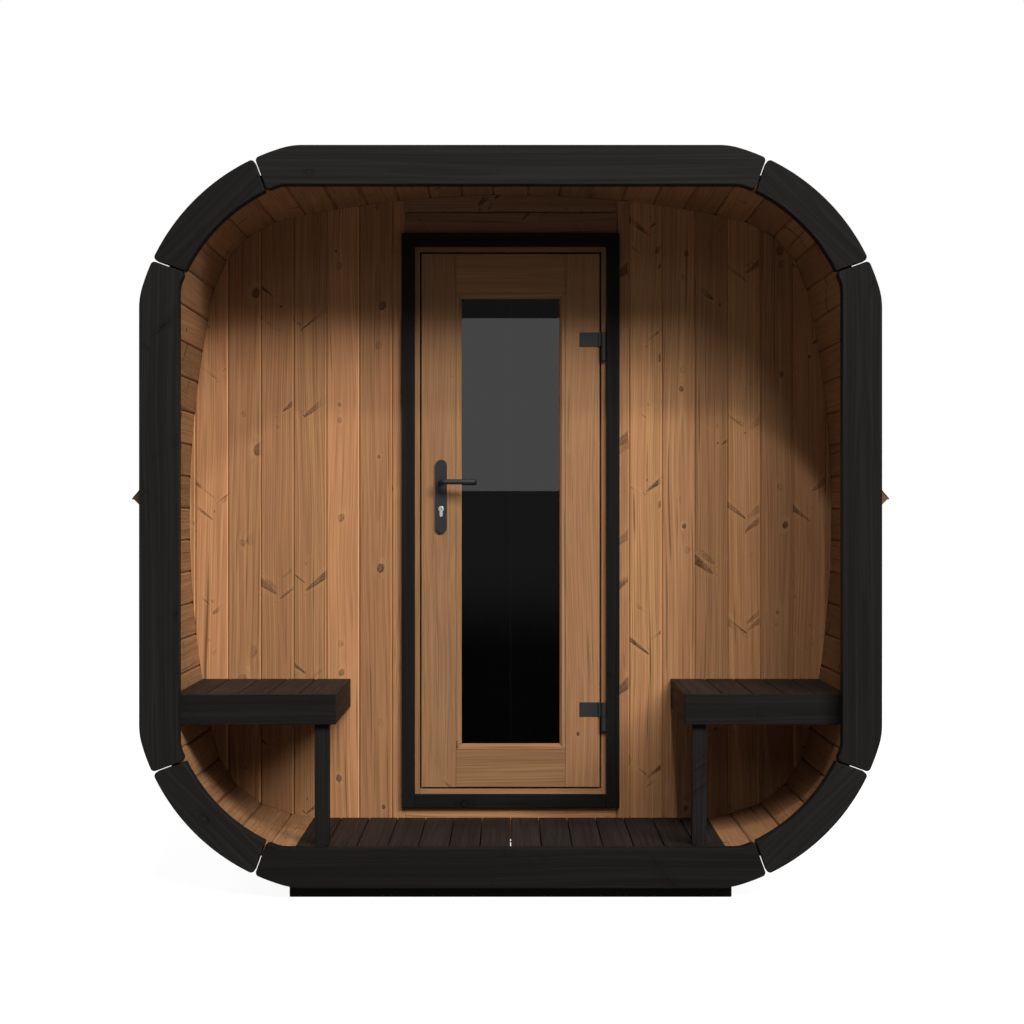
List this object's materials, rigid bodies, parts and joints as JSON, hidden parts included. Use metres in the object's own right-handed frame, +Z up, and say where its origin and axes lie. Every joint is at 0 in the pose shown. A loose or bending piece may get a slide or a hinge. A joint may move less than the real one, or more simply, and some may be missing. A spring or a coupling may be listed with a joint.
{
  "type": "outdoor sauna cabin",
  "caption": "Bulged square timber sauna cabin with dark end rings, a covered porch with side benches and a glazed hinged door.",
  "frame": {"origin": "on the ground under the middle of the cabin, midway between the two end rings", "axes": "+Z up, -Y out of the front (porch) side, +X to the right seen from the front"},
  "size_m": [2.1158, 2.2, 2.094],
  "materials": {
    "black_stain": "black wood stain, satin",
    "shell_wood": "heat-treated softwood, oiled",
    "wall_wood": "heat-treated softwood, oiled",
    "door_wood": "heat-treated softwood, oiled",
    "deck_stain": "dark brown wood stain, matt",
    "roof_rubber": "matt black roofing membrane",
    "band_steel": "brushed",
    "black_metal": "matt black powder coat",
    "nickel": "satin nickel",
    "tinted_glass": "dark tinted toughened glass"
  },
  "bodies": {
    "cabin": {"skids": "black_stain", "staves_floor": "shell_wood", "staves_right": "shell_wood", "staves_roof": "shell_wood", "staves_left": "shell_wood", "staves_corners": "shell_wood", "shell_bands": "band_steel", "roof_membrane": "roof_rubber", "drip_battens": "shell_wood", "front_ring_top": "black_stain", "front_ring_bottom": "black_stain", "front_ring_left": "black_stain", "front_ring_right": "black_stain", "front_ring_corners": "black_stain", "rear_ring_sides": "black_stain", "rear_ring_corners": "black_stain", "front_wall_left": "wall_wood", "front_wall_right": "wall_wood", "front_wall_header": "wall_wood", "front_wall_sill": "wall_wood", "back_wall": "wall_wood", "door_frame": "door_wood", "door_trim": "black_stain", "hinge_frame_halves": "black_metal", "porch_deck": "deck_stain", "cabin_floor": "wall_wood", "floor_joists": "shell_wood", "bench_left_slats": "deck_stain", "bench_left_frame": "black_stain", "bench_right_slats": "deck_stain", "bench_right_frame": "black_stain", "bench_legs": "black_stain"},
    "door": {"door_stile_left": "door_wood", "door_stile_right": "door_wood", "door_rail_top": "door_wood", "door_rail_bottom": "door_wood", "door_glass": "tinted_glass", "glazing_beads_outside": "door_wood", "glazing_beads_inside": "door_wood", "hinge_leaf_halves": "black_metal", "lock_plate_outside": "black_metal", "lock_plate_inside": "black_metal", "lock_cylinder": "nickel"},
    "handle": {"lever_outside": "black_metal", "lever_inside": "black_metal"}
  },
  "joints": [
    {"name": "door_hinge", "type": "hinge", "parent": "cabin", "child": "door", "pos_m": [0.284, -0.511, 0.45], "axis": [0, 0, 1], "range_deg": [0, 105]},
    {"name": "lever_turn", "type": "hinge", "parent": "door", "child": "handle", "pos_m": [-0.2125, -0.5, 1.1675], "axis": [0, 1, 0], "range_deg": [0, 45], "stiffness_Nm_per_rad": 1.5, "springref_deg": -20.05}
  ]
}
